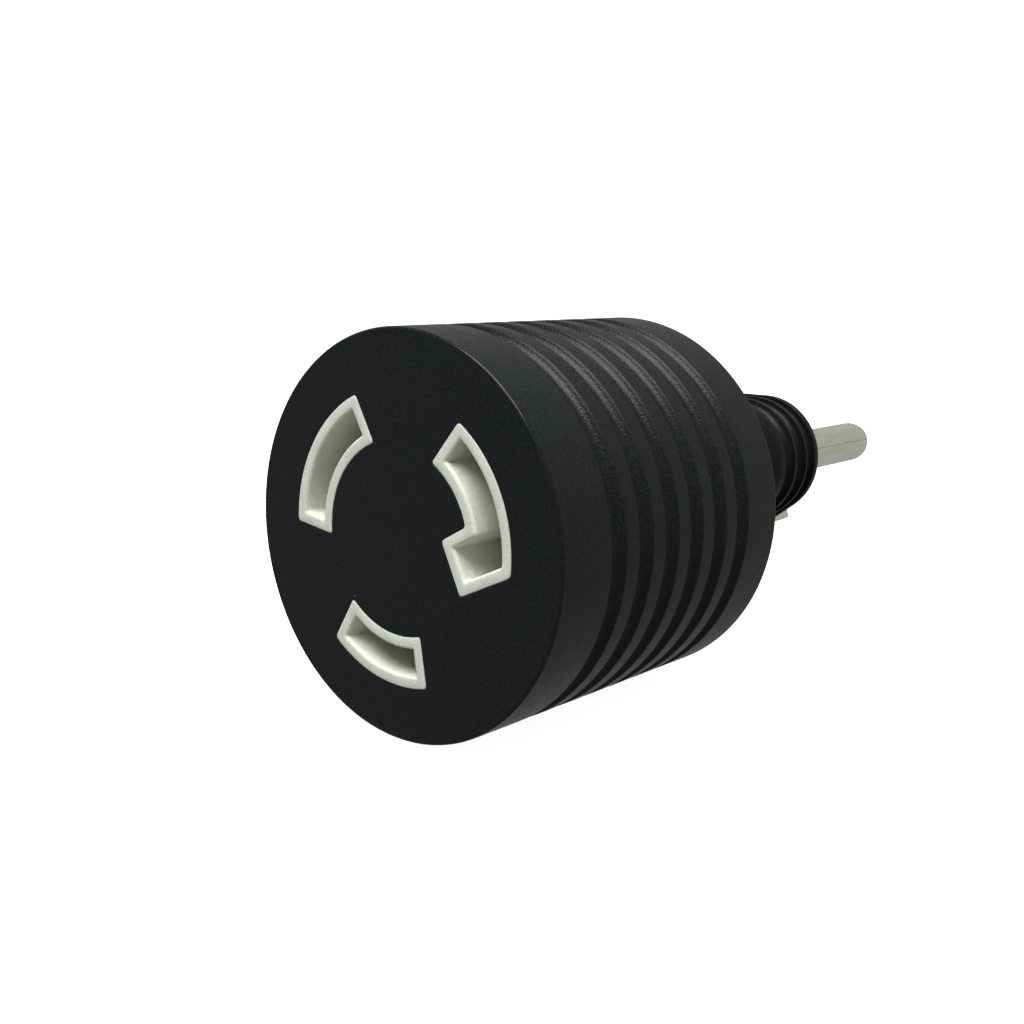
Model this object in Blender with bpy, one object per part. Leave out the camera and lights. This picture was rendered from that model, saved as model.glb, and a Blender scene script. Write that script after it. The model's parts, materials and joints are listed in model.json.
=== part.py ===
"""One-piece power adapter: round locking receptacle body with a ribbed straight-blade plug.

Frame: origin at the centre of the receptacle face, +Y along the body towards the plug,
+Z up with the adapter lying on its side, +X to the right seen from the receptacle face.
All driving dimensions are in millimetres; geometry is written in metres.
"""
import math

import bmesh
import bpy

MM = 0.001

# ---- driving dimensions (mm, degrees) ----
BODY_R = 20.6            # body radius
BODY_L = 37.0            # face to rear shoulder
SIDES = 28               # facets round the body; a wide one at the bottom keeps it from rolling
RIM_EDGE = 0.3           # edge break on both rims
GROOVES = 6
GROOVE_FIRST = 8.35      # centre of the first groove
GROOVE_PITCH = 4.33
GROOVE_W = 2.4
GROOVE_D = 0.9

FACE_T = 2.2             # jacket thickness over the receptacle core
GAP = 0.3                # clearance between neighbouring pieces
SLOT_R_IN = 9.85         # rim of the curved slots, inner and outer radius
SLOT_R_OUT = 14.88
SLOT_WALL = 1.14         # rim thickness round each opening
NEUTRAL_IN = (110.6, 183.7)
NEUTRAL_OUT = (113.2, 179.4)
HOT_IN = (227.0, 285.7)
HOT_OUT = (230.7, 283.4)
GROUND_R_IN = 9.25
GROUND_R_OUT = 14.45
GROUND_IN = (13.7, 59.3)
GROUND_OUT = (-6.8, 55.7)
HOOK = ((8.19, -4.46), (5.88, 0.54))   # inner end of the hooked part of the ground slot

CORE_R = 16.9
CORE_Y = (2.5, 19.0)
COVER_Y = (19.3, 22.3)
CHAMBER_R = (9.6, 15.0)
CHAMBER_Y = 10.0
BLADE_CIRCLE_R = 12.3    # pitch radius of the curved blades
LEAF_GAP = 1.6
LEAF_T = 0.7
CONTACT_Y = (10.6, 15.6)
SPRING_T = 0.4
SPRING_Y = (11.4, 14.4)
NEUTRAL_CONTACT = (115.0, 180.0)
HOT_CONTACT = (232.0, 281.0)
GROUND_CONTACT = (17.0, 56.0)

WIRE_R = 1.0
INSULATION_R = 1.8
BARREL_R = 1.8
BARREL_BORE_R = 1.3
WIRE_Y = (17.5, 50.0)
INSULATION_Y = (22.9, 45.6)

PLUG_TURN = 12.3         # direction of the ground pin above +X
PLUG_CENTRE = (0.33, 1.27)
PIN_S = 9.0              # ground pin centre along the plug's long axis
BLADE_S = PIN_S - 11.9   # line through both blade centres
BLADE_T = 6.35
NECK_DISCS = ((5.4, -0.36, 7.6), (-2.9, 6.3, 4.9), (-3.05, -5.3, 4.7))   # along, across, radius
BRIDGE_DISCS = ((8.0, 2.2, 1.0), (-2.9, 6.3, 2.9), (-3.05, -5.3, 3.15), (8.0, -2.2, 1.0))
PLUG_FACE_Y = 60.4
BLADE_W = 6.35
BLADE_THK = 1.52
SHANK_W = 3.6
BLADE_TIP_Y = PLUG_FACE_Y + 17.2
PIN_R = 2.55
PIN_TIP_Y = PLUG_FACE_Y + 18.6
BRIDGE_Y = (51.2, 58.4)

# neck outline along Y: position and offset from the full outline of the ridges
NECK_PROFILE = (
    (37.0, 0.4), (37.5, -0.2), (46.5, -0.2), (49.5, -0.65), (50.8, -0.8),
    (51.4, -0.5), (51.8, 0.0), (52.15, 0.0), (52.65, -0.6), (53.25, -0.9), (53.85, -0.6),
    (54.4, 0.0), (55.0, 0.0), (55.45, -0.6), (56.0, -0.9), (56.55, -0.6),
    (57.0, 0.0), (57.6, 0.0), (57.95, -0.6), (58.45, -0.9), (58.95, -0.6),
    (59.3, 0.0), (60.15, 0.0), (60.4, -0.25),
)


# ---- plan geometry, all as (x, z) pairs in mm ----
def polar(radius, degrees):
    angle = math.radians(degrees)
    return (radius * math.cos(angle), radius * math.sin(angle))


def arc(radius, start, end, step=5.0):
    count = max(2, int(round(abs(end - start) / step)))
    return [polar(radius, start + (end - start) * i / count) for i in range(count + 1)]


def plug_point(s, t):
    """Plug axes to (x, z): s towards the ground pin, t towards the neutral blade."""
    along = polar(1.0, PLUG_TURN)
    return (
        PLUG_CENTRE[0] + s * along[0] + t * along[1],
        PLUG_CENTRE[1] + s * along[1] - t * along[0],
    )


def band(radii, inner, outer):
    """Curved slot outline, counter-clockwise."""
    return arc(radii[1], outer[0], outer[1]) + arc(radii[0], inner[1], inner[0])


def offset(outline, distance):
    """Parallel outline, positive distance grows a counter-clockwise outline."""
    count = len(outline)
    lines = []
    for i in range(count):
        ax, az = outline[i]
        bx, bz = outline[(i + 1) % count]
        length = math.hypot(bx - ax, bz - az)
        nx = (bz - az) / length
        nz = -(bx - ax) / length
        lines.append((nx, nz, nx * ax + nz * az + distance))
    result = []
    for i in range(count):
        ax, az, ad = lines[i - 1]
        bx, bz, bd = lines[i]
        det = ax * bz - az * bx
        result.append(((ad * bz - az * bd) / det, (ax * bd - ad * bx) / det))
    return result


def circle(centre, radius, sides):
    points = []
    for i in range(sides):
        x, z = polar(radius, 360.0 * (i + 0.5) / sides)
        points.append((centre[0] + x, centre[1] + z))
    return points


def rounded_hull(discs, grow, sides):
    """Outline of a band stretched round several discs (s, t, radius)."""
    centres = [(plug_point(s, t), radius + grow) for s, t, radius in discs]
    points = []
    for i in range(sides):
        nx, nz = polar(1.0, 360.0 * (i + 0.5) / sides)
        (x, z), radius = max(centres, key=lambda c: c[0][0] * nx + c[0][1] * nz + c[1])
        points.append((x + radius * nx, z + radius * nz))
    return points


def neck_outline(grow):
    return rounded_hull(NECK_DISCS, grow, SIDES)


def without_repeats(outline):
    kept = []
    for point in outline:
        if not kept or math.dist(point, kept[-1]) > 1e-4:
            kept.append(point)
    if math.dist(kept[0], kept[-1]) < 1e-4:
        kept.pop()
    return kept


def plug_box(s, t, size_s, size_t):
    half_s = size_s / 2
    half_t = size_t / 2
    corners = ((-half_s, half_t), (half_s, half_t), (half_s, -half_t), (-half_s, -half_t))
    return [plug_point(s + ds, t + dt) for ds, dt in corners]


def slot_outlines():
    radii = (SLOT_R_IN, SLOT_R_OUT)
    ground = arc(GROUND_R_OUT, GROUND_OUT[0], GROUND_OUT[1])
    ground += arc(GROUND_R_IN, GROUND_IN[1], GROUND_IN[0])
    ground += [HOOK[1], HOOK[0]]
    return {
        "neutral": band(radii, NEUTRAL_IN, NEUTRAL_OUT),
        "hot": band(radii, HOT_IN, HOT_OUT),
        "ground": ground,
    }


# ---- solids ----
def add_object(name, bm):
    bmesh.ops.remove_doubles(bm, verts=bm.verts, dist=1e-7)
    bmesh.ops.recalc_face_normals(bm, faces=bm.faces)
    mesh = bpy.data.meshes.new(name)
    bm.to_mesh(mesh)
    bm.free()
    obj = bpy.data.objects.new(name, mesh)
    bpy.context.scene.collection.objects.link(obj)
    return obj


def ring_verts(bm, outline, y):
    return [bm.verts.new((x * MM, y * MM, z * MM)) for x, z in outline]


def bridge_rings(bm, first, second):
    count = len(first)
    for i in range(count):
        j = (i + 1) % count
        bm.faces.new((first[i], first[j], second[j], second[i]))


def loft(name, sections):
    """Closed solid through (outline, y) sections with equal point counts."""
    bm = bmesh.new()
    rings = [ring_verts(bm, outline, y) for outline, y in sections]
    for first, second in zip(rings, rings[1:]):
        bridge_rings(bm, first, second)
    bm.faces.new(rings[0])
    bm.faces.new(rings[-1])
    return add_object(name, bm)


def prism(name, outline, y0, y1):
    clean = without_repeats(outline)
    return loft(name, [(clean, y0), (clean, y1)])


def turned(name, centre, profile, sides=24):
    """Solid of revolution about an axis parallel to Y; profile is (radius, y)."""
    return loft(name, [(circle(centre, radius, sides), y) for radius, y in profile])


def boolean(target, other, operation):
    modifier = target.modifiers.new(operation, "BOOLEAN")
    modifier.operation = operation
    modifier.solver = "EXACT"
    modifier.object = other
    graph = bpy.context.evaluated_depsgraph_get()
    mesh = bpy.data.meshes.new_from_object(target.evaluated_get(graph))
    mesh.name = target.name
    target.modifiers.clear()
    target.data = mesh
    bpy.data.objects.remove(other, do_unlink=True)


def cut(target, other):
    boolean(target, other, "DIFFERENCE")


def join(target, other):
    boolean(target, other, "UNION")


def path_frames(points):
    """Tangent and two side vectors at every point, carried along without twist."""
    frames = []
    side = (1.0, 0.0, 0.0)
    for i in range(len(points)):
        a = points[max(0, i - 1)]
        b = points[min(len(points) - 1, i + 1)]
        tangent = [b[k] - a[k] for k in range(3)]
        length = math.sqrt(sum(c * c for c in tangent))
        tangent = [c / length for c in tangent]
        dot = sum(side[k] * tangent[k] for k in range(3))
        side = [side[k] - dot * tangent[k] for k in range(3)]
        length = math.sqrt(sum(c * c for c in side))
        side = [c / length for c in side]
        other = (
            tangent[1] * side[2] - tangent[2] * side[1],
            tangent[2] * side[0] - tangent[0] * side[2],
            tangent[0] * side[1] - tangent[1] * side[0],
        )
        frames.append((side, other))
    return frames


def sweep_rings(bm, points, radius, sides):
    rings = []
    for point, (u, v) in zip(points, path_frames(points)):
        ring = []
        for i in range(sides):
            c, s = polar(radius, 360.0 * i / sides)
            ring.append(bm.verts.new([(point[k] + c * u[k] + s * v[k]) * MM for k in range(3)]))
        rings.append(ring)
    for first, second in zip(rings, rings[1:]):
        bridge_rings(bm, first, second)
    return rings


def rod(name, points, radius, sides):
    bm = bmesh.new()
    rings = sweep_rings(bm, points, radius, sides)
    bm.faces.new(rings[0])
    bm.faces.new(rings[-1])
    return add_object(name, bm)


def tube(name, points, outer, inner, sides):
    bm = bmesh.new()
    outside = sweep_rings(bm, points, outer, sides)
    inside = sweep_rings(bm, points, inner, sides)
    bridge_rings(bm, outside[0], inside[0])
    bridge_rings(bm, outside[-1], inside[-1])
    return add_object(name, bm)


# ---- wire routes ----
def wire_route(start, via, end):
    """Key points: straight out of the contact, round the other wires, straight into the plug."""
    keys = [(start, 24.0)] + via + [(end, 44.0)]
    return [(x, y, z) for (x, z), y in keys]


def smooth_route(keys, y0, y1, steps):
    """Catmull-Rom run through the keys with straight ends reaching y0 and y1."""
    first = keys[0]
    last = keys[-1]
    padded = [(first[0], first[1] - 4.0, first[2])] + keys + [(last[0], last[1] + 4.0, last[2])]
    points = []
    if y0 < first[1] - 0.1:
        points.append((first[0], y0, first[2]))
    for i in range(1, len(padded) - 2):
        p0, p1, p2, p3 = padded[i - 1:i + 3]
        for j in range(steps):
            f = j / steps
            points.append(tuple(catmull(p0[k], p1[k], p2[k], p3[k], f) for k in range(3)))
    points.append(last)
    if y1 > last[1] + 0.1:
        points.append((last[0], y1, last[2]))
    return points


def catmull(a, b, c, d, f):
    return 0.5 * (2 * b + (c - a) * f + (2 * a - 5 * b + 4 * c - d) * f * f
                  + (3 * b - a - 3 * c + d) * f ** 3)


def contact_mid(angles):
    return polar(BLADE_CIRCLE_R, sum(angles) / 2)


def wire_keys():
    return {
        "ground": wire_route(
            contact_mid(GROUND_CONTACT), [((9.6, 4.9), 34.0)], plug_point(PIN_S, 0.0)),
        "neutral": wire_route(
            contact_mid(NEUTRAL_CONTACT), [((-9.2, 0.8), 29.5), ((-3.1, -4.0), 36.4)],
            plug_point(BLADE_S, BLADE_T)),
        "hot": wire_route(
            contact_mid(HOT_CONTACT), [((1.6, -7.0), 30.0), ((1.4, 2.6), 37.0)],
            plug_point(BLADE_S, -BLADE_T)),
    }


# ---- pieces ----
def body_outline(radius):
    """Facets touch the true circle at their middles, so the overall size is exact."""
    return circle((0, 0), radius / math.cos(math.pi / SIDES), SIDES)


def body_sections():
    sections = [(BODY_R - RIM_EDGE, 0.0), (BODY_R, RIM_EDGE)]
    bow = (GROOVE_W ** 2 / 4 + GROOVE_D ** 2) / (2 * GROOVE_D)
    half = math.asin(GROOVE_W / 2 / bow)
    for i in range(GROOVES):
        middle = GROOVE_FIRST + i * GROOVE_PITCH
        for step in range(-2, 3):
            angle = half * step / 2
            radius = BODY_R - GROOVE_D + bow * (1 - math.cos(angle))
            sections.append((radius, middle + bow * math.sin(angle)))
    sections += [(BODY_R, BODY_L - RIM_EDGE), (BODY_R - RIM_EDGE, BODY_L)]
    return [(body_outline(radius), y) for radius, y in sections]


def bridge_outline(grow):
    return without_repeats(rounded_hull(BRIDGE_DISCS, grow, 48))


def make_jacket(slots, keys):
    neck = [(neck_outline(grow), y) for y, grow in NECK_PROFILE]
    jacket = loft("overmoulded_jacket", body_sections() + neck)
    cut(jacket, turned("core_pocket", (0, 0), ((17.2, FACE_T), (17.2, 22.6)), 36))
    cut(jacket, turned("rivet_pocket", (0, 0), ((2.9, 22.0), (2.9, 23.5)), 16))
    for name, outline in slots.items():
        cut(jacket, prism(name, offset(outline, GAP), -1.0, FACE_T + 0.5))
    cut(jacket, prism("plug_pocket", bridge_outline(GAP), 46.0, 58.8))
    cut(jacket, turned("pin_pocket", plug_point(PIN_S, 0), ((2.25, 46.0), (2.25, 59.0)), 16))
    for route in keys.values():
        cut(jacket, rod("channel", smooth_route(route, 22.0, 46.6, 5), 2.15, 12))
    cut(jacket, turned("pin_exit", plug_point(PIN_S, 0), ((PIN_R + GAP, 58.3), (PIN_R + GAP, 61.0)), 24))
    long_way = BLADE_W + 2 * GAP
    short_way = BLADE_THK + 2 * GAP
    cut(jacket, prism("slot", plug_box(BLADE_S, BLADE_T, short_way, long_way), 58.2, 61.0))
    cut(jacket, prism("slot", plug_box(BLADE_S, -BLADE_T, long_way, short_way), 58.2, 61.0))
    return jacket


def make_core(slots):
    core = turned("receptacle_core", (0, 0), ((CORE_R, CORE_Y[0]), (CORE_R, CORE_Y[1])), 36)
    chambers = {"neutral": (108.0, 186.0), "hot": (224.0, 289.0), "ground": (0.0, 62.0)}
    for name, outline in slots.items():
        join(core, prism(name, outline, 0.0, CORE_Y[0] + 0.4))
    for name, outline in slots.items():
        depth = 16.0 if name == "ground" else CHAMBER_Y + 0.4
        cut(core, prism(name, offset(outline, -SLOT_WALL), -1.0, depth))
        span = chambers[name]
        cut(core, prism(name, band(CHAMBER_R, span, span), CHAMBER_Y, CORE_Y[1] + 1.0))
    cut(core, turned("bore", (0, 0), ((1.7, 2.0), (1.7, 20.0)), 16))
    cut(core, turned("recess", (0, 0), ((3.1, 2.0), (3.1, 3.8)), 20))
    return core


def make_cover():
    cover = turned("receptacle_rear_cover", (0, 0), ((CORE_R, COVER_Y[0]), (CORE_R, COVER_Y[1])), 36)
    cut(cover, turned("bore", (0, 0), ((1.7, 18.0), (1.7, 24.0)), 16))
    for span in (NEUTRAL_CONTACT, HOT_CONTACT, GROUND_CONTACT):
        cut(cover, turned("hole", contact_mid(span), ((2.15, 18.0), (2.15, 24.0)), 16))
    return cover


def make_rivet():
    profile = ((2.8, 2.8), (2.8, 3.5), (1.4, 3.5), (1.4, 22.6), (2.6, 22.6), (2.6, 23.2))
    rivet = turned("interior_rivet", (0, 0), profile, 16)
    cut(rivet, turned("bore", (0, 0), ((0.8, 2.0), (0.8, 24.0)), 12))
    return rivet


def leaf_pair(name, span, faces, joint, y_span):
    """Two curved leaves joined by a strip at the far end of the span (joint +1) or the near end."""
    inner_low, inner_high, outer_low, outer_high = faces
    width = math.degrees((inner_high - inner_low) / BLADE_CIRCLE_R)
    near, far = span if joint > 0 else (span[1], span[0])
    back = far - joint * width
    outline = arc(outer_high, near, far) + arc(inner_low, far, near)
    outline += arc(inner_high, near, back) + arc(outer_low, back, near)
    return prism(name, outline, y_span[0], y_span[1])


def make_contact(name, span):
    half = LEAF_GAP / 2
    faces = (BLADE_CIRCLE_R - half - LEAF_T, BLADE_CIRCLE_R - half,
             BLADE_CIRCLE_R + half, BLADE_CIRCLE_R + half + LEAF_T)
    contact = leaf_pair(name, span, faces, 1, CONTACT_Y)
    middle = sum(span) / 2
    web_span = (middle - 9.0, middle + 9.0)
    web = band((faces[0] + 0.01, faces[3] - 0.01), web_span, web_span)
    join(contact, prism("web", web, CONTACT_Y[1] - 0.3, CONTACT_Y[1] + 0.5))
    barrel = turned("barrel", polar(BLADE_CIRCLE_R, middle), ((BARREL_R, 15.9), (BARREL_R, 22.3)), 16)
    cut(barrel, turned("bore", polar(BLADE_CIRCLE_R, middle), ((BARREL_BORE_R, 16.6), (BARREL_BORE_R, 24.0)), 16))
    join(contact, barrel)
    return contact


def make_spring(name, span):
    clearance = math.degrees((GAP + SPRING_T) / BLADE_CIRCLE_R)
    spring_span = (span[0] - clearance, span[1] - 6.0)
    inner = BLADE_CIRCLE_R - LEAF_GAP / 2 - LEAF_T - GAP
    outer = BLADE_CIRCLE_R + LEAF_GAP / 2 + LEAF_T + GAP
    faces = (inner - SPRING_T, inner, outer, outer + SPRING_T)
    return leaf_pair(name, spring_span, faces, -1, SPRING_Y)


def make_bridge():
    bridge = prism("plug_bridge", bridge_outline(0.0), BRIDGE_Y[0], BRIDGE_Y[1])
    cut(bridge, turned("saddle", plug_point(PIN_S, 0), ((2.2, 50.0), (2.2, 59.0)), 20))
    long_way = SHANK_W + 2 * GAP
    short_way = BLADE_THK + 2 * GAP
    cut(bridge, prism("slot", plug_box(BLADE_S, BLADE_T, short_way, long_way), 50.0, 59.0))
    cut(bridge, prism("slot", plug_box(BLADE_S, -BLADE_T, long_way, short_way), 50.0, 59.0))
    return bridge


def blade_sections(t, turned_blade):
    """Shank, shoulder and bevelled tip as (outline, y) sections."""
    rows = (
        (SHANK_W, BLADE_THK, 50.3), (SHANK_W, BLADE_THK, 59.0),
        (BLADE_W, BLADE_THK, 59.4), (BLADE_W, BLADE_THK, BLADE_TIP_Y - 1.8),
        (BLADE_W - 0.6, 0.5, BLADE_TIP_Y),
    )
    sections = []
    for width, thickness, y in rows:
        size = (thickness, width) if turned_blade else (width, thickness)
        sections.append((plug_box(BLADE_S, t, size[0], size[1]), y))
    return sections


def make_blade(name, t, turned_blade):
    blade = loft(name, blade_sections(t, turned_blade))
    centre = plug_point(BLADE_S, t)
    barrel = turned("barrel", centre, ((BARREL_R, 46.3), (BARREL_R, 50.8)), 16)
    cut(barrel, turned("bore", centre, ((BARREL_BORE_R, 46.0), (BARREL_BORE_R, 50.2)), 16))
    join(blade, barrel)
    return blade


def make_pin():
    centre = plug_point(PIN_S, 0.0)
    tip = [(PIN_R * math.cos(a), PIN_TIP_Y - 3.0 + 3.0 * math.sin(a))
           for a in [math.radians(d) for d in (0, 20, 40, 58, 74)]]
    outer = [(1.9, 46.3), (1.9, 58.2), (PIN_R, 58.9)] + tip + [(0.35, PIN_TIP_Y)]
    pin = turned("ground_pin", centre, outer, 24)
    inner = [(1.3, 46.0), (1.3, 58.2), (1.8, 58.9), (1.8, PIN_TIP_Y - 3.2), (0.9, PIN_TIP_Y - 1.7)]
    cut(pin, turned("hollow", centre, inner, 16))
    seam = [plug_point(s, t) for s, t in ((PIN_S, 0.17), (PIN_S + 3, 0.17), (PIN_S + 3, -0.17), (PIN_S, -0.17))]
    cut(pin, prism("seam", seam, PLUG_FACE_Y + 0.2, PIN_TIP_Y - 2.6))
    return pin


def make_wires(keys):
    pieces = []
    for name, route in keys.items():
        core_path = smooth_route(route, WIRE_Y[0], WIRE_Y[1], 5)
        pieces.append(rod(name + "_conductor", core_path, WIRE_R, 10))
        sleeve_path = smooth_route(route, INSULATION_Y[0], INSULATION_Y[1], 5)
        pieces.append(tube(name + "_insulation", sleeve_path, INSULATION_R, BARREL_BORE_R, 14))
    return pieces


# ---- materials ----
FINISHES = {
    "black_pvc": ((0.022, 0.024, 0.025, 1.0), 0.0, 0.55),
    "ivory_nylon": ((0.62, 0.63, 0.54, 1.0), 0.0, 0.45),
    "brass": ((0.78, 0.57, 0.25, 1.0), 1.0, 0.32),
    "spring_steel": ((0.50, 0.50, 0.50, 1.0), 1.0, 0.35),
    "nickel_plate": ((0.66, 0.66, 0.60, 1.0), 1.0, 0.28),
    "copper": ((0.80, 0.42, 0.28, 1.0), 1.0, 0.38),
    "black_insulation": ((0.015, 0.015, 0.016, 1.0), 0.0, 0.5),
    "white_insulation": ((0.80, 0.80, 0.78, 1.0), 0.0, 0.5),
    "green_insulation": ((0.03, 0.26, 0.08, 1.0), 0.0, 0.5),
    "dark_nylon": ((0.05, 0.05, 0.055, 1.0), 0.0, 0.5),
}


def give_material(obj, finish):
    colour, metallic, roughness = FINISHES[finish]
    material = bpy.data.materials.new(obj.name + "_" + finish)
    material.use_nodes = True
    shader = material.node_tree.nodes["Principled BSDF"]
    shader.inputs["Base Color"].default_value = colour
    shader.inputs["Metallic"].default_value = metallic
    shader.inputs["Roughness"].default_value = roughness
    obj.data.materials.clear()
    obj.data.materials.append(material)


def shade(obj):
    for polygon in obj.data.polygons:
        polygon.use_smooth = True
    obj.data.set_sharp_from_angle(angle=math.radians(32))


def finish_of(name):
    if name.endswith("_conductor"):
        return "copper"
    if name.endswith("_contact"):
        return "brass"
    if name.endswith("_contact_spring"):
        return "spring_steel"
    fixed = {
        "overmoulded_jacket": "black_pvc", "receptacle_core": "ivory_nylon",
        "receptacle_rear_cover": "ivory_nylon", "interior_rivet": "nickel_plate",
        "plug_bridge": "dark_nylon", "hot_insulation": "black_insulation",
        "neutral_insulation": "white_insulation", "ground_insulation": "green_insulation",
    }
    return fixed.get(name, "nickel_plate")


def main():
    for obj in list(bpy.data.objects):
        bpy.data.objects.remove(obj, do_unlink=True)
    slots = slot_outlines()
    keys = wire_keys()
    pieces = [make_jacket(slots, keys), make_core(slots), make_cover(), make_rivet()]
    spans = (("neutral", NEUTRAL_CONTACT), ("hot", HOT_CONTACT), ("ground", GROUND_CONTACT))
    for name, span in spans:
        pieces.append(make_contact(name + "_contact", span))
        pieces.append(make_spring(name + "_contact_spring", span))
    pieces += make_wires(keys)
    pieces.append(make_bridge())
    pieces.append(make_blade("hot_blade", -BLADE_T, False))
    pieces.append(make_blade("neutral_blade", BLADE_T, True))
    pieces.append(make_pin())
    for obj in pieces:
        give_material(obj, finish_of(obj.name))
        shade(obj)


main()
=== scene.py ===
"""Looks for the one-piece power adapter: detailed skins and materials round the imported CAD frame.

Everything shares the CAD frame: origin at the centre of the receptacle face, +Y along the body
to the plug, +Z up with the adapter lying on its side. Lengths are in millimetres until a mesh
is made; the scene itself is in metres.
"""

import json
import math

import bmesh
import bpy
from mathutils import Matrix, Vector


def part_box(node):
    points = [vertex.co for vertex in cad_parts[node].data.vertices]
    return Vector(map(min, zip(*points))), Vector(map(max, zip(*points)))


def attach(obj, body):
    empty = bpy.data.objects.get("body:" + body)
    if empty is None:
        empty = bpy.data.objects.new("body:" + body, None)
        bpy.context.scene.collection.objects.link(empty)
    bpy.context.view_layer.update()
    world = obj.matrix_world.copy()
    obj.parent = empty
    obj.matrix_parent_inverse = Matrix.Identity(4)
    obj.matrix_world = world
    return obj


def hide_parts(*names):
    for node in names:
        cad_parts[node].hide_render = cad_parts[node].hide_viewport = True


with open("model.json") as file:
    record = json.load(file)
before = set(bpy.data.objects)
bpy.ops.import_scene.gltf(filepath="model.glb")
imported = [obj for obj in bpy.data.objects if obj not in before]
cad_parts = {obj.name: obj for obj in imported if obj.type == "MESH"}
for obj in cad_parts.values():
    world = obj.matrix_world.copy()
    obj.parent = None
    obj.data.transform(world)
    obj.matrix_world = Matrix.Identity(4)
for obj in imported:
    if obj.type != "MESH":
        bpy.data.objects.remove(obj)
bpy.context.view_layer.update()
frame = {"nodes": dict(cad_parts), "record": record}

MM = 0.001
ROOT = "root"

# ---- body and neck (mm) ----
BODY_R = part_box("overmoulded_jacket")[1].z / MM
BODY_L = 37.0
AROUND = 160             # segments round the body and the neck
CORE_POCKET = (17.2, 22.6)         # radius, far end
RIVET_POCKET = (2.9, 22.0, 23.5)   # radius, start, end
RIM_FILLET = 0.32
GROOVES = 6
GROOVE_FIRST = 8.35
GROOVE_PITCH = 4.33
GROOVE_W = 2.3
GROOVE_D = 0.9
GROOVE_LIP = 0.14        # rounding where a groove meets the land
ROOT_FILLET = 0.5        # neck to shoulder
NECK_WAIST = (43.0, 51.9)
NECK_DEPTH = 0.2         # neck below its outline, before the waist
WAIST_DEPTH = 0.95       # how much deeper the waist gets
WAIST_STEPS = 15
NECK_GROOVES = ((53.3, 2.35), (56.05, 2.15), (58.45, 1.75))   # middle, width
NECK_GROOVE_D = 1.25
NECK_LIP = 0.10
FLANGE_FILLET = 0.25
PLUG_FACE_Y = 60.4

# ---- receptacle slots (mm, degrees) ----
SLOT_R_IN = 9.85
SLOT_R_OUT = 14.88
SLOT_WALL = 1.14
SLOT_CORNER = 0.42       # corner rounding of a rim, seen from the front
OPENING_CORNER = 0.26
LIP_R = 0.34             # rounding from the rim down into the opening
RIM_EDGE_R = 0.12
RIM_GROW = 0.09          # the ivory rims spread a little where they meet the face
SEAT_GAP = 0.02          # black moulding to ivory rim
SEAT_FLARES = ((0.0, 0.07), (0.03, 0.03), (0.08, 0.0))   # depth, opening of the seat's edge
NEUTRAL_IN = (110.6, 183.7)
NEUTRAL_OUT = (113.2, 179.4)
HOT_IN = (227.0, 285.7)
HOT_OUT = (230.7, 283.4)
GROUND_R_IN = 9.25
GROUND_R_OUT = 14.45
GROUND_IN = (13.7, 59.3)
GROUND_OUT = (-6.8, 55.7)
HOOK = ((8.19, -4.46), (5.88, 0.54))
FACE_T = 2.2
CORE_R = 16.9
CORE_Y = (2.5, 19.0)
CHAMBER_R = (9.6, 15.0)
CHAMBER_Y = 10.0
CHAMBERS = {"neutral": (108.0, 186.0), "hot": (224.0, 289.0), "ground": (0.0, 62.0)}
OPENING_END = {"neutral": 10.4, "hot": 10.4, "ground": 16.0}
COLLAR_ROOT = CORE_Y[0] + 0.6      # the collars run a little way into the disc
CORE_BORE_R = 1.7
CORE_RECESS = (3.1, 3.8)           # radius, far end: room for the rivet's head

# ---- plug (mm, degrees) ----
PLUG_TURN = 12.3         # direction of the ground pin above +X
PLUG_CENTRE = (0.33, 1.27)
PIN_S = 9.0              # ground pin centre along the plug's long axis
BLADE_S = PIN_S - 11.9   # line through both blade centres
BLADE_T = 6.35
NECK_DISCS = ((5.4, -0.36, 7.6), (-2.9, 6.3, 4.9), (-3.05, -5.3, 4.7))   # along, across, radius
BLADE_W = 6.35
BLADE_THK = 1.52
BLADE_CHAMFER = 0.14
SHANK_W = 3.6
BLADE_TIP_Y = PLUG_FACE_Y + 17.2
BLADE_TIP_THK = 0.5
EXIT_Y = (58.3, 61.0)    # openings for the metal through the end flange
METAL_ROOT_Y = 46.3      # where the wires meet the blades and the pin
BARREL_R = 1.8
BARREL_BORE_R = 1.3
BARREL_END = 50.8
PIN_R = 2.55
PIN_SHANK_R = 1.9
PIN_STEP_Y = (58.2, 58.9)          # shank swelling to the full size
PIN_BORE = (1.3, 1.8)              # inside the shank, inside the pin
PIN_TIP_Y = PLUG_FACE_Y + 18.6
PIN_NOSE = 3.0           # length of the rounded tip
SEAM_W = 0.26            # open shoulders of the folded pin's seam
SEAM_D = 0.14
METAL_GAP = 0.04         # moulding to metal at the plug face

# ---- camera (metres, degrees) ----
CAMERA_AT = (0.090313, -0.087277, 0.025025)
CAMERA_TURN = 40.91
CAMERA_DOWN = 10.125
LENS = 45.974
SENSOR = 36.0

# ---- light (metres, watts, strengths) ----
KEY_FROM = (0.12, -0.38, 0.915)
KEY_AWAY = 0.6
KEY_ACROSS = 0.50
KEY_POWER = 6.0
KEY_AIM = (0.0, 0.02, 0.0)
SURROUND = (0.24, 0.44)  # in front of the adapter, behind it
BACKDROP = 1.05
FLOOR_GLOW = 0.94


# ---- plan outlines, (x, z) in mm ----
def polar(radius, degrees):
    angle = math.radians(degrees)
    return (radius * math.cos(angle), radius * math.sin(angle))


def arc(radius, start, end, step=2.0):
    count = max(2, int(round(abs(end - start) / step)))
    return [polar(radius, start + (end - start) * i / count) for i in range(count + 1)]


def circle(centre, radius, sides):
    points = []
    for i in range(sides):
        x, z = polar(radius, 360.0 * (i + 0.5) / sides)
        points.append((centre[0] + x, centre[1] + z))
    return points


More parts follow.
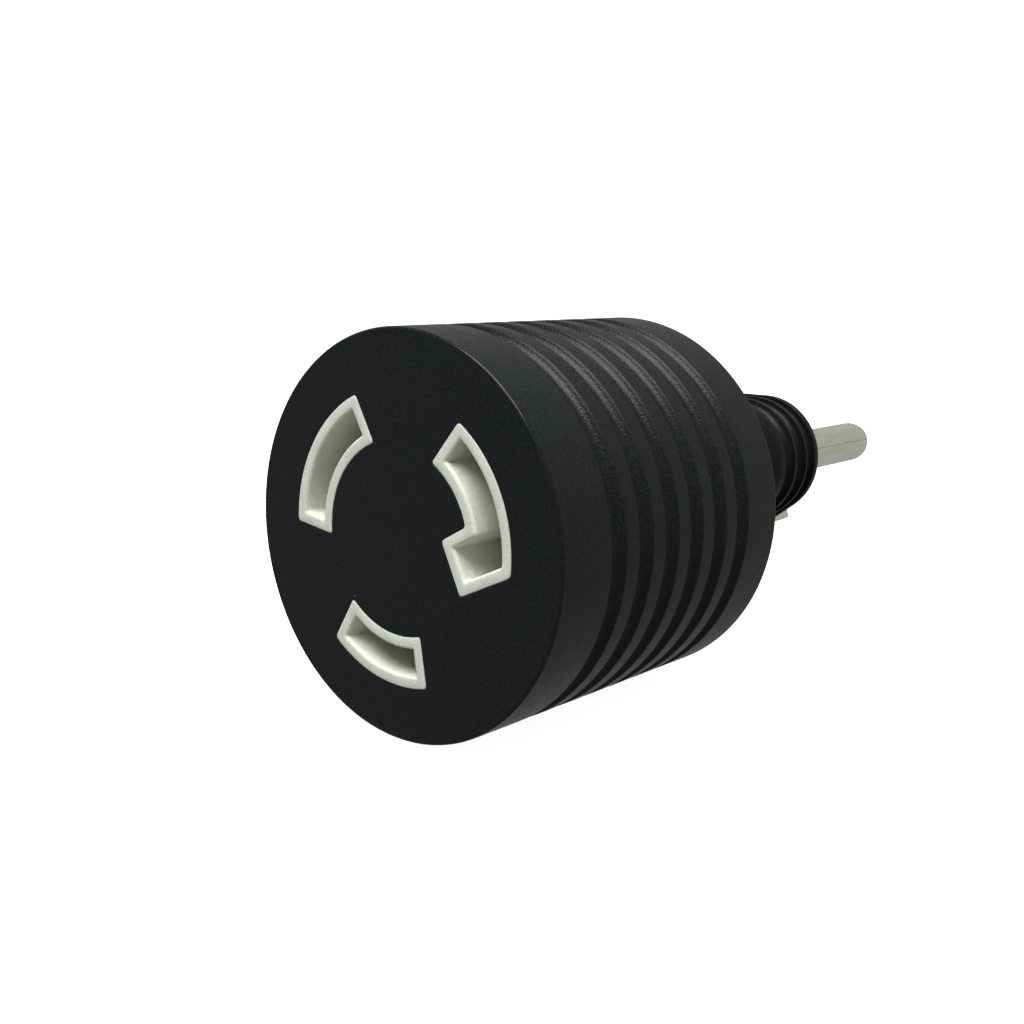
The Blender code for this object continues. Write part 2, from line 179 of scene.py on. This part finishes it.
def plug_point(s, t):
    """Plug axes to (x, z): s towards the ground pin, t towards the turned neutral blade."""
    along = polar(1.0, PLUG_TURN)
    return (
        PLUG_CENTRE[0] + s * along[0] + t * along[1],
        PLUG_CENTRE[1] + s * along[1] - t * along[0],
    )


def neck_outline(grow):
    """Egg round the ground pin and the two blades, grown by a distance."""
    centres = [(plug_point(s, t), radius + grow) for s, t, radius in NECK_DISCS]
    points = []
    for i in range(AROUND):
        nx, nz = polar(1.0, 360.0 * (i + 0.5) / AROUND)
        (x, z), radius = max(centres, key=lambda c: c[0][0] * nx + c[0][1] * nz + c[1])
        points.append((x + radius * nx, z + radius * nz))
    return points


def slot_path(name):
    """Corners of a slot's rim, counter-clockwise, each with the radius of the side that follows:
    zero is straight, positive bulges outwards and negative inwards."""
    if name == "ground":
        return [(polar(GROUND_R_OUT, GROUND_OUT[0]), GROUND_R_OUT),
                (polar(GROUND_R_OUT, GROUND_OUT[1]), 0),
                (polar(GROUND_R_IN, GROUND_IN[1]), -GROUND_R_IN),
                (polar(GROUND_R_IN, GROUND_IN[0]), 0),
                (HOOK[1], 0), (HOOK[0], 0)]
    span_in, span_out = (NEUTRAL_IN, NEUTRAL_OUT) if name == "neutral" else (HOT_IN, HOT_OUT)
    return [(polar(SLOT_R_OUT, span_out[0]), SLOT_R_OUT), (polar(SLOT_R_OUT, span_out[1]), 0),
            (polar(SLOT_R_IN, span_in[1]), -SLOT_R_IN), (polar(SLOT_R_IN, span_in[0]), 0)]


def moved_line(a, b, distance):
    """Straight side moved outwards: its unit normal and its distance from the origin."""
    length = math.dist(a, b)
    nx, nz = (b[1] - a[1]) / length, (a[0] - b[0]) / length
    return (nx, nz, nx * a[0] + nz * a[1] + distance)


def meet(line, other, near):
    """Where a line meets another line, or a circle round the origin given by its radius."""
    nx, nz, d = line
    if isinstance(other, tuple):
        ox, oz, od = other
        det = nx * oz - nz * ox
        return ((d * oz - od * nz) / det, (nx * od - ox * d) / det)
    along = math.sqrt(other ** 2 - d ** 2)
    return min([(nx * d - nz * s, nz * d + nx * s) for s in (along, -along)],
               key=lambda point: math.dist(point, near))


def slot_sides(name, distance=0.0):
    """The sides of a slot's rim from corner to corner, moved outwards by a distance."""
    path = slot_path(name)
    curves = []
    for i, (corner, radius) in enumerate(path):
        straight = moved_line(corner, path[(i + 1) % len(path)][0], distance)
        curves.append(abs(radius) + math.copysign(1, radius) * distance if radius else straight)
    corners = []
    for i, (corner, _) in enumerate(path):
        line, other = sorted((curves[i - 1], curves[i]), key=lambda curve: not isinstance(curve, tuple))
        corners.append(meet(line, other, corner))
    sides = []
    for i, (_, radius) in enumerate(path):
        a, b = corners[i], corners[(i + 1) % len(path)]
        if radius:
            start, end = (math.degrees(math.atan2(z, x)) for x, z in (a, b))
            sides.append(arc(math.hypot(*a), start, start + (end - start + 180) % 360 - 180))
        else:
            sides.append([a, b])
    return sides


def along_side(side, distance):
    """Point at a distance from the start of a run of points."""
    for a, b in zip(side, side[1:]):
        length = math.dist(a, b)
        if distance <= length:
            f = distance / length
            return (a[0] + f * (b[0] - a[0]), a[1] + f * (b[1] - a[1]))
        distance -= length
    return side[-1]


def rounded_with_counts(sides, radius, counts, corner_steps=5):
    """Closed outline with rounded corners and a fixed number of points on every side."""
    points = []
    for i, side in enumerate(sides):
        following = sides[(i + 1) % len(sides)]
        length = sum(math.dist(a, b) for a, b in zip(side, side[1:]))
        for j in range(counts[i] + 1):
            points.append(along_side(side, radius + (length - 2 * radius) * j / counts[i]))
        corner, leave = side[-1], along_side(following, radius)
        enter = points[-1]
        for j in range(1, corner_steps):
            f = j / corner_steps
            points.append(tuple(
                (1 - f) ** 2 * enter[k] + 2 * f * (1 - f) * corner[k] + f * f * leave[k]
                for k in range(2)))
    return points


def side_counts(name, per_mm=2.2):
    """The same for every offset of one slot, so that its outlines can be lofted."""
    sides = slot_sides(name)
    return [max(2, int(sum(math.dist(a, b) for a, b in zip(s, s[1:])) * per_mm)) for s in sides]


def slot_outline(name, distance, corner):
    return rounded_with_counts(slot_sides(name, distance), corner, side_counts(name))


# ---- meshes ----
def object_from(name, bm):
    bmesh.ops.remove_doubles(bm, verts=bm.verts, dist=1e-7)
    bmesh.ops.recalc_face_normals(bm, faces=bm.faces)
    if bm.calc_volume(signed=True) < 0:
        bmesh.ops.reverse_faces(bm, faces=bm.faces)
    mesh = bpy.data.meshes.new(name)
    bm.to_mesh(mesh)
    bm.free()
    obj = bpy.data.objects.new(name, mesh)
    bpy.context.scene.collection.objects.link(obj)
    return obj


def ring(bm, outline, y):
    return [bm.verts.new((x * MM, y * MM, z * MM)) for x, z in outline]


def bridge(bm, first, second):
    count = len(first)
    for i in range(count):
        j = (i + 1) % count
        bm.faces.new((first[i], first[j], second[j], second[i]))


def loft(name, sections, closed_loop=False):
    """Solid through (outline, y) sections: capped, or joined end to end as a hollow ring."""
    bm = bmesh.new()
    rings = [ring(bm, outline, y) for outline, y in sections]
    for first, second in zip(rings, rings[1:]):
        bridge(bm, first, second)
    if closed_loop:
        bridge(bm, rings[-1], rings[0])
    else:
        bm.faces.new(rings[0])
        bm.faces.new(rings[-1])
    return object_from(name, bm)


def prism(name, outline, y0, y1):
    return loft(name, [(outline, y0), (outline, y1)])


def turned(name, centre, profile, sides=64):
    """Solid of revolution about an axis parallel to Y; profile is (radius, y)."""
    return loft(name, [(circle(centre, radius, sides), y) for radius, y in profile])


def boolean(target, others, operation):
    """Exact Booleans with each tool in turn; the tools are used up."""
    for other in others:
        modifier = target.modifiers.new(operation, "BOOLEAN")
        modifier.operation = operation
        modifier.solver = "EXACT"
        modifier.object = other
        graph = bpy.context.evaluated_depsgraph_get()
        mesh = bpy.data.meshes.new_from_object(target.evaluated_get(graph))
        mesh.name = target.name
        target.modifiers.clear()
        target.data = mesh
        bpy.data.objects.remove(other, do_unlink=True)


def cut(target, *others):
    boolean(target, others, "DIFFERENCE")


def join(target, *others):
    boolean(target, others, "UNION")


def soften(obj, sharp=40.0):
    """Smooth shading whose normals follow the large faces, so flats stay flat beside fillets."""
    for polygon in obj.data.polygons:
        polygon.use_smooth = True
    obj.data.set_sharp_from_angle(angle=math.radians(sharp))
    modifier = obj.modifiers.new("flat_faces", "WEIGHTED_NORMAL")
    modifier.mode = "FACE_AREA"
    modifier.keep_sharp = True
    modifier.weight = 50


# ---- profiles, (y, offset) in mm ----
def groove_profile(middle, width, depth, lip, steps=10, lip_steps=3):
    """A round-bottomed groove with rounded lips, as offsets below the surface."""
    bow = (width ** 2 / 4 + depth ** 2) / (2 * depth)
    drop = bow - depth + lip
    reach = math.sqrt((bow + lip) ** 2 - drop ** 2)
    turn = math.atan2(reach, drop)
    half = [(reach - lip * math.sin(turn * k / lip_steps), -lip * (1 - math.cos(turn * k / lip_steps)))
            for k in range(lip_steps + 1)]
    points = [(middle - y, z) for y, z in half]
    for k in range(1, steps):
        angle = turn * (2 * k / steps - 1)
        points.append((middle + bow * math.sin(angle), bow - depth - bow * math.cos(angle)))
    points += [(middle + y, z) for y, z in reversed(half)]
    return points


def body_sections():
    quarter = [math.radians(90 * k / 4) for k in range(5)]
    front = [(RIM_FILLET * (1 - math.cos(a)), RIM_FILLET * (math.sin(a) - 1)) for a in quarter]
    profile = list(front)
    for i in range(GROOVES):
        profile += groove_profile(GROOVE_FIRST + i * GROOVE_PITCH, GROOVE_W, GROOVE_D, GROOVE_LIP)
    profile += [(BODY_L - y, z) for y, z in reversed(front)]
    return [(circle((0, 0), BODY_R + z, AROUND), y) for y, z in profile]


def neck_sections():
    start, end = NECK_WAIST
    profile = []
    for k in range(6):
        angle = math.radians(90 * k / 5)
        profile.append((BODY_L + ROOT_FILLET * (1 - math.cos(angle)),
                        ROOT_FILLET * (1 - math.sin(angle)) - NECK_DEPTH))
    for k in range(WAIST_STEPS):
        f = k / WAIST_STEPS
        profile.append((start + (end - start) * f,
                        -NECK_DEPTH * (1 - f ** 6) - WAIST_DEPTH * math.sin(math.pi * f) ** 2))
    for middle, width in NECK_GROOVES:
        profile += groove_profile(middle, width, NECK_GROOVE_D, NECK_LIP)
    for k in range(5):
        angle = math.radians(90 * k / 4)
        profile.append((PLUG_FACE_Y - FLANGE_FILLET * (1 - math.sin(angle)),
                        -FLANGE_FILLET * (1 - math.cos(angle))))
    return [(neck_outline(z), y) for y, z in profile]


# ---- pieces ----
def blade_box(t, turned_blade, width, thickness, chamfer):
    """Chamfered cross-section of a blade."""
    half = (thickness / 2, width / 2) if turned_blade else (width / 2, thickness / 2)
    hs, ht = half
    c = chamfer
    corners = ((-hs, ht - c), (-hs + c, ht), (hs - c, ht), (hs, ht - c),
               (hs, -ht + c), (hs - c, -ht), (-hs + c, -ht), (-hs, -ht + c))
    return [plug_point(BLADE_S + ds, t + dt) for ds, dt in corners]


def make_jacket():
    """Black outer moulding: grooved body, ribbed neck and the pocket round the core."""
    jacket = loft("jacket", body_sections() + neck_sections())
    pocket_r, pocket_end = CORE_POCKET
    rivet_r, rivet_start, rivet_end = RIVET_POCKET
    tools = [turned("core_pocket", (0, 0), ((pocket_r, FACE_T), (pocket_r, pocket_end))),
             turned("rivet_pocket", (0, 0), ((rivet_r, rivet_start), (rivet_r, rivet_end)), 24)]
    for name in CHAMBERS:
        seat = [(-0.5, SEAT_FLARES[0][1]), *SEAT_FLARES, (FACE_T + 0.5, 0.0)]
        tools.append(loft("seat", [
            (slot_outline(name, RIM_GROW + SEAT_GAP + flare, SLOT_CORNER), y) for y, flare in seat]))
    pin = plug_point(PIN_S, 0.0)
    tools.append(turned("pin_exit", pin, [(PIN_R + METAL_GAP, y) for y in EXIT_Y]))
    for t, turned_blade in ((BLADE_T, True), (-BLADE_T, False)):
        outline = blade_box(t, turned_blade, BLADE_W + 2 * METAL_GAP,
                            BLADE_THK + 2 * METAL_GAP, BLADE_CHAMFER)
        tools.append(prism("blade_exit", outline, *EXIT_Y))
    cut(jacket, *tools)
    return jacket


def make_collar(name):
    """Ivory rim of one slot, flush with the face, its mouth rounded inwards."""
    sections = [(slot_outline(name, RIM_GROW, SLOT_CORNER), COLLAR_ROOT)]
    for k in range(4):
        angle = math.radians(90 * k / 3)
        sections.append((slot_outline(name, RIM_GROW - RIM_EDGE_R * (1 - math.cos(angle)), SLOT_CORNER),
                         RIM_EDGE_R * (1 - math.sin(angle))))
    for k in range(7):
        angle = math.radians(90 * k / 6)
        grow = -SLOT_WALL + LIP_R * (1 - math.sin(angle))
        sections.append((slot_outline(name, grow, OPENING_CORNER), LIP_R * (1 - math.cos(angle))))
    sections.append((slot_outline(name, -SLOT_WALL, OPENING_CORNER), COLLAR_ROOT))
    return loft("collar", sections, closed_loop=True)


def make_core():
    """Ivory insulator: a disc with contact chambers and three rims that reach the face."""
    core = turned("core", (0, 0), ((CORE_R, CORE_Y[0]), (CORE_R, CORE_Y[1])), 96)
    for name, span in CHAMBERS.items():
        opening = slot_outline(name, -SLOT_WALL, OPENING_CORNER)
        cut(core, prism("opening", opening, CORE_Y[0] - 1.0, OPENING_END[name]))
        chamber = arc(CHAMBER_R[1], span[0], span[1]) + arc(CHAMBER_R[0], span[1], span[0])
        cut(core, prism("chamber", chamber, CHAMBER_Y, CORE_Y[1] + 1.0))
    join(core, *[make_collar(name) for name in CHAMBERS])
    recess_r, recess_end = CORE_RECESS
    cut(core, turned("bore", (0, 0), ((CORE_BORE_R, 2.0), (CORE_BORE_R, CORE_Y[1] + 1.0)), 32),
        turned("recess", (0, 0), ((recess_r, 2.0), (recess_r, recess_end)), 32))
    return core


def make_pin():
    """Folded ground pin with a rounded nose and its lengthwise seam."""
    centre = plug_point(PIN_S, 0.0)
    nose = []
    for k in range(12):
        angle = math.radians(80 * k / 11)
        nose.append((PIN_R * math.cos(angle), PIN_TIP_Y - PIN_NOSE + PIN_NOSE * math.sin(angle)))
    narrow, wide = PIN_STEP_Y
    outer = [(PIN_SHANK_R, METAL_ROOT_Y), (PIN_SHANK_R, narrow), (PIN_R, wide), *nose, (0.2, PIN_TIP_Y)]
    pin = turned("pin", centre, outer, 72)
    inner = [(PIN_BORE[0], METAL_ROOT_Y - 0.3), (PIN_BORE[0], narrow), (PIN_BORE[1], wide),
             (PIN_BORE[1], PIN_TIP_Y - 3.2), (PIN_BORE[1] / 2, PIN_TIP_Y - 1.7)]
    cut(pin, turned("hollow", centre, inner, 40))
    edge = PIN_S + PIN_R
    profile = ((edge - SEAM_D, 0.0), (edge - 0.04, SEAM_W / 4), (edge + 0.1, SEAM_W),
               (edge + 0.1, -SEAM_W), (edge - 0.04, -SEAM_W / 4))
    cut(pin, prism("seam", [plug_point(s, t) for s, t in profile], PLUG_FACE_Y + 0.1, PIN_TIP_Y - 1.2))
    return pin


def make_blade(name, t, turned_blade):
    """Flat blade with chamfered edges and a bevelled tip, on its shank and wire barrel."""
    rows = ((SHANK_W, BLADE_THK, 50.3), (SHANK_W, BLADE_THK, 59.0), (BLADE_W, BLADE_THK, 59.4),
            (BLADE_W, BLADE_THK, BLADE_TIP_Y - 1.9),
            (BLADE_W - 0.03, BLADE_THK - 0.1, BLADE_TIP_Y - 1.6),
            (BLADE_W - 0.12, BLADE_TIP_THK + 0.16, BLADE_TIP_Y - 0.12),
            (BLADE_W - 0.22, BLADE_TIP_THK, BLADE_TIP_Y))
    blade = loft(name, [(blade_box(t, turned_blade, width, thickness, BLADE_CHAMFER), y)
                        for width, thickness, y in rows])
    centre = plug_point(BLADE_S, t)
    barrel = turned("barrel", centre, ((BARREL_R, METAL_ROOT_Y), (BARREL_R, BARREL_END)), 40)
    bore = ((BARREL_BORE_R, METAL_ROOT_Y - 0.3), (BARREL_BORE_R, BARREL_END - 0.6))
    cut(barrel, turned("bore", centre, bore, 40))
    join(blade, barrel)
    return blade


# ---- materials ----
class Nodes:
    """Short names for the few shader nodes used here."""

    def __init__(self, name):
        self.material = bpy.data.materials.new(name)
        self.material.use_nodes = True
        self.tree = self.material.node_tree
        self.shader = self.tree.nodes["Principled BSDF"]
        coordinates = self.tree.nodes.new("ShaderNodeTexCoord")
        self.place = self.vector_math("SCALE", coordinates.outputs["Object"], scale=1 / MM)

    def link(self, value, socket):
        if isinstance(value, bpy.types.NodeSocket):
            self.tree.links.new(value, socket)
        elif isinstance(value, tuple) and len(value) == 3 and socket.type == "RGBA":
            socket.default_value = value + (1.0,)
        else:
            socket.default_value = value

    def vector_math(self, operation, vector, other=(0.0, 0.0, 0.0), scale=1.0):
        node = self.tree.nodes.new("ShaderNodeVectorMath")
        node.operation = operation
        self.link(vector, node.inputs[0])
        if operation == "SCALE":
            node.inputs["Scale"].default_value = scale
        else:
            self.link(other, node.inputs[1])
        return node.outputs[0]

    def math(self, operation, a, b=0.0):
        node = self.tree.nodes.new("ShaderNodeMath")
        node.operation = operation
        self.link(a, node.inputs[0])
        self.link(b, node.inputs[1])
        return node.outputs[0]

    def split(self, vector):
        node = self.tree.nodes.new("ShaderNodeSeparateXYZ")
        self.link(vector, node.inputs[0])
        return node.outputs

    def noise(self, size, detail=2.0, roughness=0.5, vector=None):
        """Noise from about 0 to 1 whose blobs are size millimetres across."""
        node = self.tree.nodes.new("ShaderNodeTexNoise")
        self.link(vector or self.place, node.inputs["Vector"])
        node.inputs["Scale"].default_value = 1.0 / size
        node.inputs["Detail"].default_value = detail
        node.inputs["Roughness"].default_value = roughness
        return node.outputs["Fac"]

    def cells(self, size):
        """Distance to the nearest of scattered points, in units of size millimetres."""
        node = self.tree.nodes.new("ShaderNodeTexVoronoi")
        self.link(self.place, node.inputs["Vector"])
        node.inputs["Scale"].default_value = 1.0 / size
        return node.outputs["Distance"]

    def ramp(self, value, low, high, out_low=0.0, out_high=1.0):
        """Smooth step between two outputs as the value goes from low to high."""
        node = self.tree.nodes.new("ShaderNodeMapRange")
        node.interpolation_type = "SMOOTHSTEP"
        self.link(value, node.inputs["Value"])
        node.inputs["From Min"].default_value = low
        node.inputs["From Max"].default_value = high
        self.link(out_low, node.inputs["To Min"])
        self.link(out_high, node.inputs["To Max"])
        return node.outputs["Result"]

    def mix(self, factor, a, b):
        node = self.tree.nodes.new("ShaderNodeMix")
        node.data_type = "RGBA"
        self.link(factor, node.inputs[0])
        self.link(a, node.inputs[6])
        self.link(b, node.inputs[7])
        return node.outputs[2]

    def bump(self, height, depth_mm, before=None):
        node = self.tree.nodes.new("ShaderNodeBump")
        node.inputs["Strength"].default_value = 1.0
        self.link(height, node.inputs["Height"])
        node.inputs["Distance"].default_value = depth_mm * MM
        if before is not None:
            self.link(before, node.inputs["Normal"])
        return node.outputs["Normal"]

    def set(self, **inputs):
        names = {"colour": "Base Color", "metallic": "Metallic", "roughness": "Roughness",
                 "normal": "Normal", "specular": "Specular IOR Level",
                 "subsurface": "Subsurface Weight", "subsurface_scale": "Subsurface Scale"}
        for key, value in inputs.items():
            self.link(value, self.shader.inputs[names[key]])


def black_pvc():
    """Matt moulded PVC; the groove floors carry a coarser, glossier spark-eroded texture."""
    n = Nodes("black_pvc")
    x, y, z = n.split(n.place)
    radius = n.math("SQRT", n.math("ADD", n.math("MULTIPLY", x, x), n.math("MULTIPLY", z, z)))
    below = n.ramp(radius, BODY_R - 0.05, BODY_R - 0.22)
    on_body = n.ramp(y, BODY_L - 0.6, BODY_L - 0.9)
    behind_rim = n.ramp(y, 1.0, 1.6)
    groove = n.math("MULTIPLY", below, n.math("MULTIPLY", on_body, behind_rim))
    near_rim = n.math("MULTIPLY", n.ramp(radius, BODY_R - 0.5, BODY_R - 0.3), n.math(
        "MAXIMUM", n.ramp(y, RIM_FILLET + 0.1, RIM_FILLET - 0.05),
        n.ramp(y, BODY_L - RIM_FILLET - 0.1, BODY_L - RIM_FILLET + 0.05)))
    cloud = n.noise(7.0, detail=4.0)
    fine = n.noise(0.16, detail=3.0, roughness=0.6)
    grain = n.noise(0.22, detail=2.0, roughness=0.55)
    pits = n.cells(0.28)
    scuffs = n.noise(1.4, detail=6.0, roughness=0.7)
    colour = n.mix(cloud, (0.0052, 0.0076, 0.0076), (0.0072, 0.0098, 0.0098))
    blotch = n.math("MULTIPLY", n.ramp(n.noise(0.32, detail=3.0, roughness=0.7), 0.42, 0.72), 0.5)
    colour = n.mix(blotch, colour, (0.0250, 0.0285, 0.0280))
    # painted shade: the neck is coloured darker than the body, standing in for shade behind the body's
    # shoulder
    painted_neck_shade = n.ramp(y, BODY_L + 0.6, BODY_L + 1.2)
    colour = n.mix(n.math("MULTIPLY", painted_neck_shade, 0.6), colour, (0.0020, 0.0022, 0.0023))
    dust_at = n.ramp(n.cells(4.2), 0.035, 0.02)
    dust_on = n.ramp(n.noise(9.0, detail=0.0), 0.60, 0.66)
    colour = n.mix(n.math("MULTIPLY", dust_at, dust_on), colour, (0.16, 0.16, 0.15))
    matt = n.math("ADD", n.ramp(scuffs, 0.35, 0.7, 0.36, 0.45), n.ramp(fine, 0.2, 0.8, -0.03, 0.03))
    wet = n.ramp(pits, 0.1, 0.6, 0.25, 0.35)
    roughness = n.math("ADD", n.math("MULTIPLY", matt, n.math("SUBTRACT", 1.0, groove)),
                       n.math("MULTIPLY", wet, groove))
    roughness = n.math("SUBTRACT", roughness, n.math("MULTIPLY", near_rim, 0.16))
    skin = n.bump(fine, 0.004)
    rough_height = n.math("MULTIPLY", n.math("ADD", grain, n.math("MULTIPLY", pits, 0.5)), groove)
    n.set(colour=colour, roughness=roughness, specular=0.185, normal=n.bump(rough_height, 0.030, skin))
    return n.material


def ivory_nylon():
    """Satin ivory nylon, a little translucent, with painted shade darkening it down in the slots."""
    n = Nodes("ivory_nylon")
    _, y, _ = n.split(n.place)
    mottle = n.noise(2.4, detail=4.0)
    colour = n.mix(n.ramp(mottle, 0.35, 0.65), (0.71, 0.74, 0.635), (0.78, 0.81, 0.705))
    grain = n.ramp(n.noise(0.26, detail=2.0), 0.38, 0.64)
    colour = n.mix(n.math("MULTIPLY", grain, 0.55), colour, (0.58, 0.61, 0.50))
    # painted shade: the colour darkens with depth into the slots, standing in for the shade that falls
    # there
    painted_depth_shade = n.ramp(y, 0.6, 7.0)
    colour = n.mix(n.math("MULTIPLY", painted_depth_shade, 0.26), colour, (0.50, 0.50, 0.38))
    n.set(colour=colour, roughness=n.ramp(n.noise(0.5, detail=3.0), 0.3, 0.7, 0.38, 0.50),
          specular=0.5, subsurface=0.12, subsurface_scale=0.0008,
          normal=n.bump(n.noise(0.20, detail=3.0), 0.010))
    return n.material


def plated_metal():
    """Nickel plate with fine drawing lines along the blades and handling marks."""
    n = Nodes("plated_metal")
    stretched = n.vector_math("MULTIPLY", n.place, (1.0, 0.06, 1.0))
    lines = n.noise(0.12, detail=3.0, vector=stretched)
    stain = n.noise(1.0, detail=4.0, vector=n.vector_math("MULTIPLY", n.place, (1.0, 0.22, 1.0)))
    colour = n.mix(n.ramp(stain, 0.35, 0.65), (0.75, 0.76, 0.62), (0.84, 0.86, 0.71))
    n.set(colour=colour, metallic=1.0,
          roughness=n.math("ADD", n.ramp(lines, 0.3, 0.7, 0.26, 0.33), n.ramp(stain, 0.3, 0.7, 0.0, 0.04)),
          normal=n.bump(lines, 0.0015))
    return n.material


def strip_metal(name, dark, light, low, high):
    """Pressed strip or drawn wire: colour between two tones, with lines along the length."""
    n = Nodes(name)
    stretched = n.vector_math("MULTIPLY", n.place, (1.0, 0.1, 1.0))
    lines = n.noise(0.15, detail=3.0, vector=stretched)
    tone = n.noise(1.8, detail=4.0)
    n.set(colour=n.mix(tone, dark, light), metallic=1.0,
          roughness=n.ramp(lines, 0.3, 0.7, low, high), normal=n.bump(lines, 0.005))
    return n.material


def sleeve_plastic(name, dark, light, roughness):
    """Extruded or moulded plastic with a faint orange-peel surface."""
    n = Nodes(name)
    tone = n.noise(1.5, detail=3.0)
    peel = n.noise(0.35, detail=2.0)
    n.set(colour=n.mix(tone, dark, light), specular=0.5,
          roughness=n.ramp(peel, 0.3, 0.7, roughness - 0.06, roughness + 0.06),
          normal=n.bump(peel, 0.008))
    return n.material


def make_materials():
    return {
        "black_pvc": black_pvc(),
        "ivory_nylon": ivory_nylon(),
        "plated_metal": plated_metal(),
        "brass_strip": strip_metal("brass_strip", (0.62, 0.42, 0.16), (0.80, 0.58, 0.26), 0.24, 0.38),
        "spring_steel": strip_metal("spring_steel", (0.42, 0.42, 0.43), (0.56, 0.56, 0.57), 0.26, 0.38),
        "copper_wire": strip_metal("copper_wire", (0.70, 0.32, 0.19), (0.86, 0.46, 0.31), 0.28, 0.42),
        "green_insulation": sleeve_plastic(
            "green_insulation", (0.02, 0.20, 0.06), (0.04, 0.29, 0.10), 0.45),
        "white_insulation": sleeve_plastic(
            "white_insulation", (0.72, 0.72, 0.70), (0.82, 0.82, 0.80), 0.45),
        "black_insulation": sleeve_plastic(
            "black_insulation", (0.010, 0.010, 0.011), (0.02, 0.02, 0.02), 0.42),
        "dark_nylon": sleeve_plastic("dark_nylon", (0.035, 0.035, 0.04), (0.06, 0.06, 0.065), 0.5),
    }


# ---- assembly ----
def dress(obj, material):
    obj.data.materials.clear()
    obj.data.materials.append(material)


def stand_for(obj, node, slot, materials):
    dress(obj, materials[slot])
    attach(obj, ROOT)
    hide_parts(node)


def make_pieces(materials):
    made = (
        (make_jacket(), "overmoulded_jacket", "black_pvc"),
        (make_core(), "receptacle_core", "ivory_nylon"),
        (make_pin(), "ground_pin", "plated_metal"),
        (make_blade("blade_hot", -BLADE_T, False), "hot_blade", "plated_metal"),
        (make_blade("blade_neutral", BLADE_T, True), "neutral_blade", "plated_metal"),
    )
    for obj, node, slot in made:
        soften(obj)
        stand_for(obj, node, slot, materials)
    replaced = {node for _, node, _ in made}
    for part in frame["record"]["subparts"]:
        if part["node"] not in replaced:
            dress(frame["nodes"][part["node"]], materials[part["material_slot"]])


# ---- stage ----
def make_floor():
    """Wide pale floor under the adapter, bright enough to look like a lit white table."""
    bm = bmesh.new()
    bmesh.ops.create_grid(bm, x_segments=1, y_segments=1, size=6.0)
    floor = object_from("floor", bm)
    floor.location.z = -BODY_R * MM
    material = bpy.data.materials.new("floor_white")
    material.use_nodes = True
    shader = material.node_tree.nodes["Principled BSDF"]
    shader.inputs["Base Color"].default_value = (0.9, 0.9, 0.9, 1.0)
    shader.inputs["Roughness"].default_value = 0.9
    shader.inputs["Specular IOR Level"].default_value = 0.0
    shader.inputs["Emission Color"].default_value = (1.0, 1.0, 1.0, 1.0)
    shader.inputs["Emission Strength"].default_value = FLOOR_GLOW
    dress(floor, material)
    floor.visible_diffuse = False
    floor.visible_glossy = False


def make_world():
    """Pale surroundings: brighter behind the adapter than in front of it, plain white to the eye."""
    world = bpy.data.worlds.new("studio")
    world.use_nodes = True
    bpy.context.scene.world = world
    tree = world.node_tree
    background = tree.nodes["Background"]
    coordinates = tree.nodes.new("ShaderNodeTexCoord")
    split = tree.nodes.new("ShaderNodeSeparateXYZ")
    tree.links.new(coordinates.outputs["Generated"], split.inputs[0])
    depth = tree.nodes.new("ShaderNodeMapRange")
    depth.inputs["From Min"].default_value = -1.0
    depth.inputs["From Max"].default_value = 1.0
    depth.inputs["To Min"].default_value = SURROUND[0]
    depth.inputs["To Max"].default_value = SURROUND[1]
    tree.links.new(split.outputs[1], depth.inputs["Value"])
    tree.links.new(depth.outputs["Result"], background.inputs["Strength"])
    seen = tree.nodes.new("ShaderNodeBackground")
    seen.inputs["Strength"].default_value = BACKDROP
    path = tree.nodes.new("ShaderNodeLightPath")
    choose = tree.nodes.new("ShaderNodeMixShader")
    tree.links.new(path.outputs["Is Camera Ray"], choose.inputs[0])
    tree.links.new(background.outputs[0], choose.inputs[1])
    tree.links.new(seen.outputs[0], choose.inputs[2])
    tree.links.new(choose.outputs[0], tree.nodes["World Output"].inputs["Surface"])
    for node in (background, seen):
        node.inputs["Color"].default_value = (1.0, 1.0, 1.0, 1.0)


def make_light():
    """One large softbox above and a little in front of the adapter."""
    data = bpy.data.lights.new("overhead_softbox", "AREA")
    data.shape = "DISK"
    data.size = KEY_ACROSS
    data.energy = KEY_POWER
    light = bpy.data.objects.new("overhead_softbox", data)
    bpy.context.scene.collection.objects.link(light)
    towards = Vector(KEY_FROM).normalized()
    light.location = Vector(KEY_AIM) + towards * KEY_AWAY
    light.rotation_euler = towards.to_track_quat("Z", "Y").to_euler()


def make_camera():
    data = bpy.data.cameras.new("camera")
    data.lens = LENS
    data.sensor_width = SENSOR
    camera = bpy.data.objects.new("camera", data)
    camera.location = CAMERA_AT
    camera.rotation_euler = (math.radians(90 - CAMERA_DOWN), 0.0, math.radians(CAMERA_TURN))
    bpy.context.scene.collection.objects.link(camera)
    bpy.context.scene.camera = camera


make_camera()
make_pieces(make_materials())
make_floor()
make_world()
make_light()
bpy.context.scene.view_settings.view_transform = "Standard"
bpy.context.view_layer.update()
